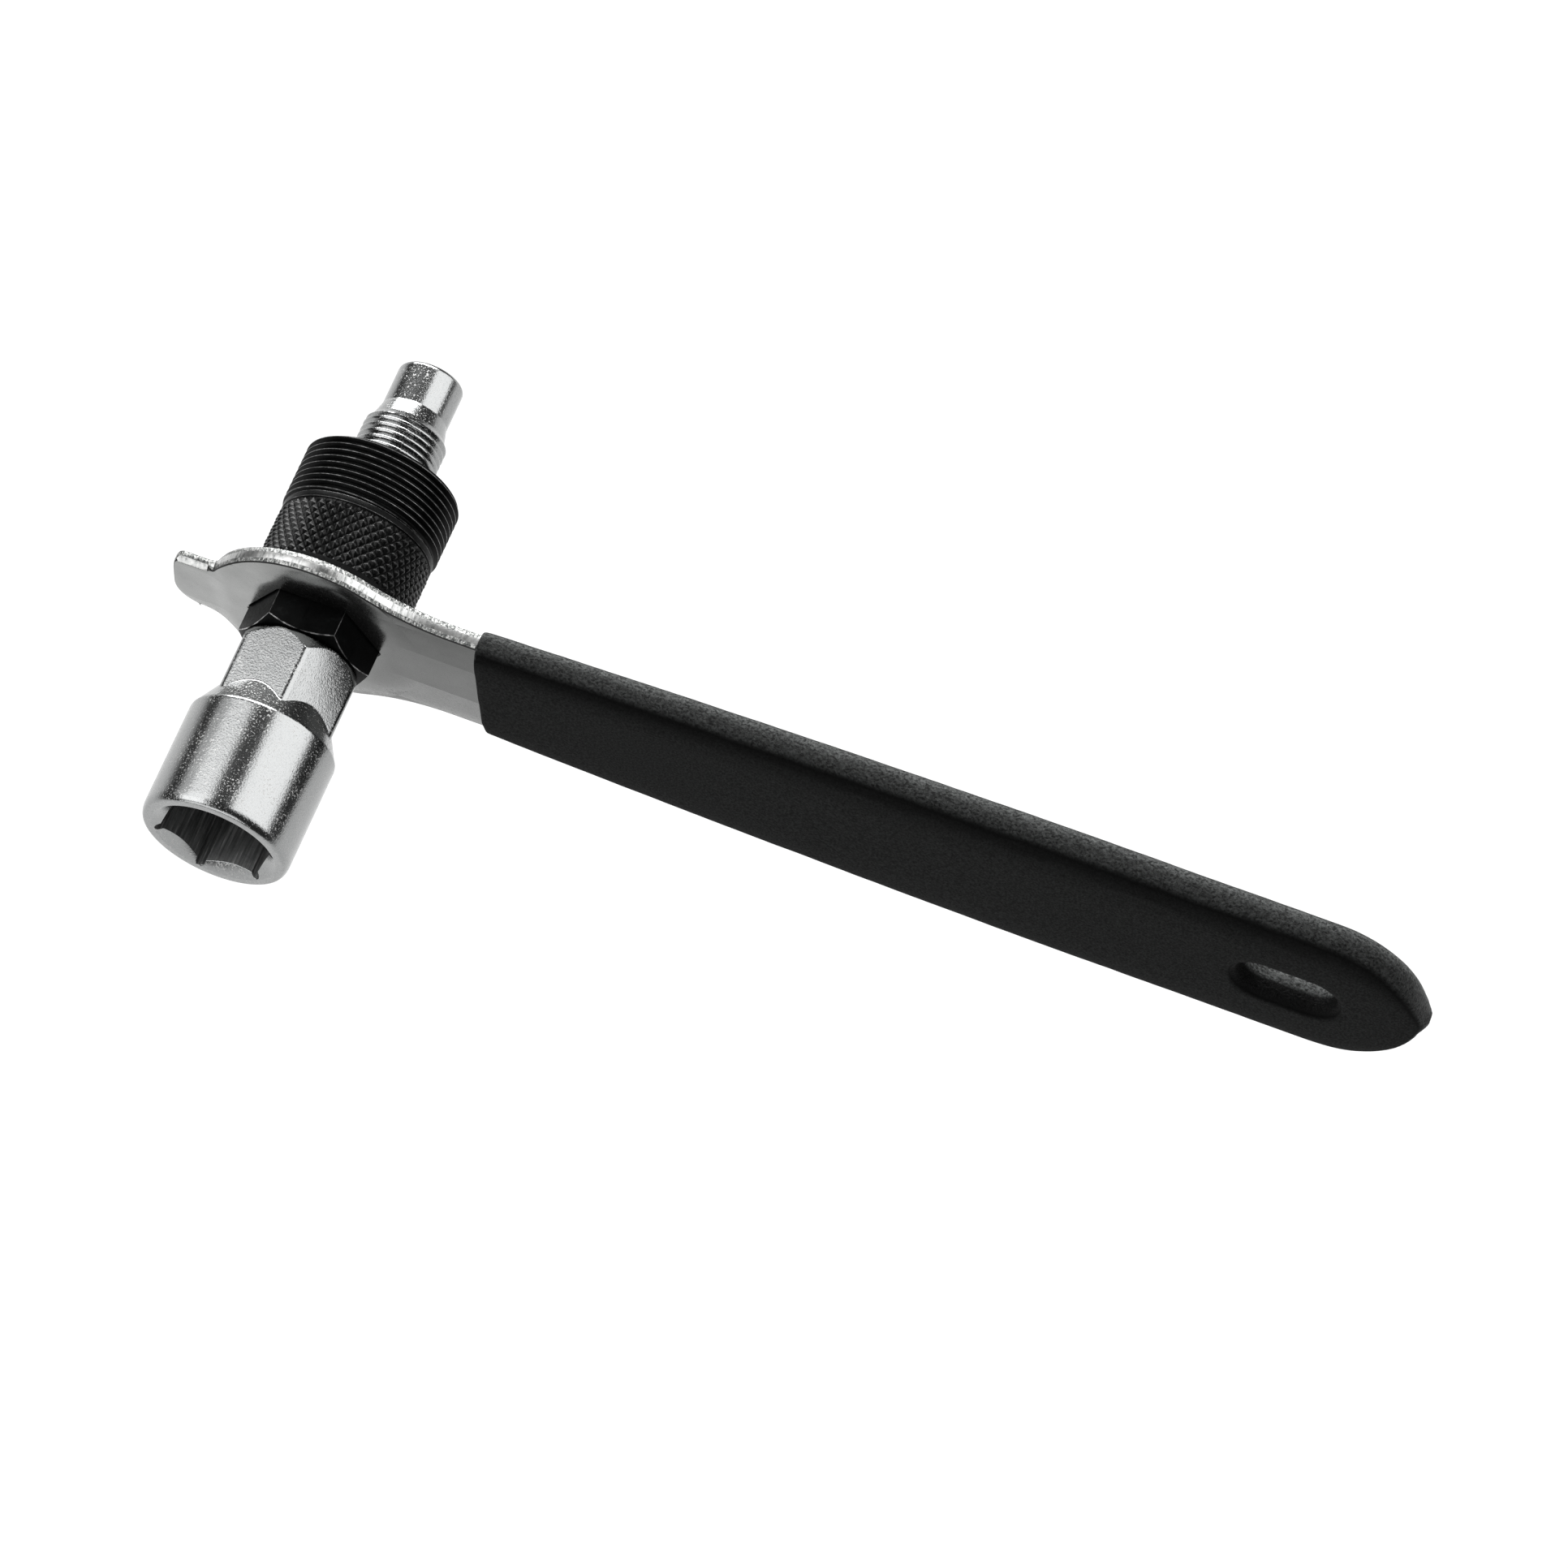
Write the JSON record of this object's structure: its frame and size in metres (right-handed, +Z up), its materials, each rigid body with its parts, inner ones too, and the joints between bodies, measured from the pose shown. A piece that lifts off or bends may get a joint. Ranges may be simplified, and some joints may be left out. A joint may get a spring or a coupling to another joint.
{
  "type": "crank puller",
  "caption": "Bicycle crank puller: knurled body that threads into the crank, a spindle with a nut socket, and a captive lever with a dipped grip.",
  "frame": {"origin": "middle of the crank thread, on the spindle's axis", "axes": "+X from the spindle to the end of the grip, +Y out of the crank thread, +Z up as the tool lies on its side"},
  "size_m": [0.1747, 0.0743, 0.0308],
  "materials": {
    "black_oxide_steel": "black oxide, slightly glossy",
    "chromed_steel": "bright chrome over turned and forged steel",
    "satin_steel": "satin chrome over stamped steel",
    "black_grip": "matte, leather-grained edges"
  },
  "bodies": {
    "puller": {"puller_body": "black_oxide_steel"},
    "spindle_group": {"spindle": "chromed_steel"},
    "lever_group": {"lever": "satin_steel", "grip": "black_grip"}
  },
  "joints": [
    {"name": "spindle_feed", "type": "slide", "parent": "puller", "child": "spindle_group", "axis": [0, 1, 0], "range_m": [-0.018, 0.0003]},
    {"name": "lever_slide", "type": "slide", "parent": "puller", "child": "lever_group", "axis": [0, 1, 0], "range_m": [-0.0045, 0]}
  ]
}
